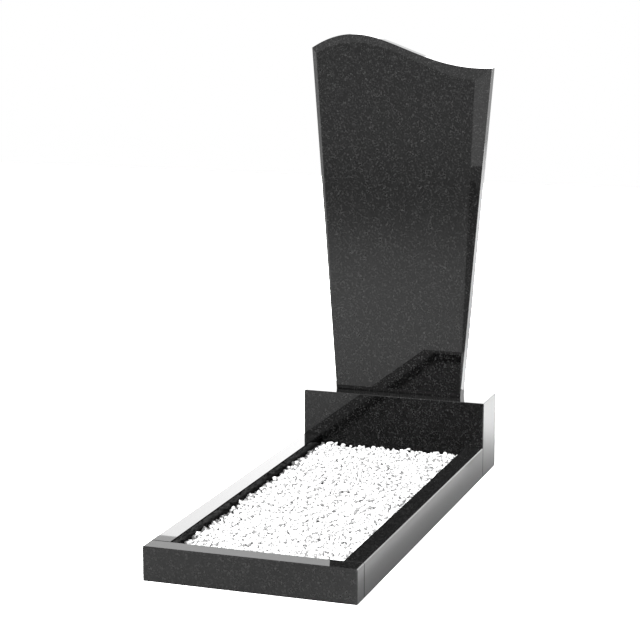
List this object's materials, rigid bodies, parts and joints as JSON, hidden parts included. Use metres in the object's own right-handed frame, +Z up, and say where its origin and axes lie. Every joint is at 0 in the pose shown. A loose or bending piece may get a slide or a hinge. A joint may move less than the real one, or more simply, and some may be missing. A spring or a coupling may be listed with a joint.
{
  "type": "headstone",
  "caption": "Polished black stone headstone with a wave-shaped top and a bevelled face, on a base block, with low kerbs around a bed of white gravel.",
  "frame": {"origin": "centre of the footprint, at ground level", "axes": "+X across the grave to the right as a visitor faces the headstone, +Y from the foot of the grave to the headstone, +Z up"},
  "size_m": [0.75, 1.8, 1.7284],
  "materials": {
    "granite": "black granite with fine light-grey specks, sawn and polished to a mirror gloss",
    "gravel": "crushed white stone chips, matt, with sharp edges"
  },
  "bodies": {
    "root": {"headstone": "granite", "base_block": "granite", "front_kerb": "granite", "left_kerb": "granite", "right_kerb": "granite", "gravel_bed": "gravel"}
  },
  "joints": []
}
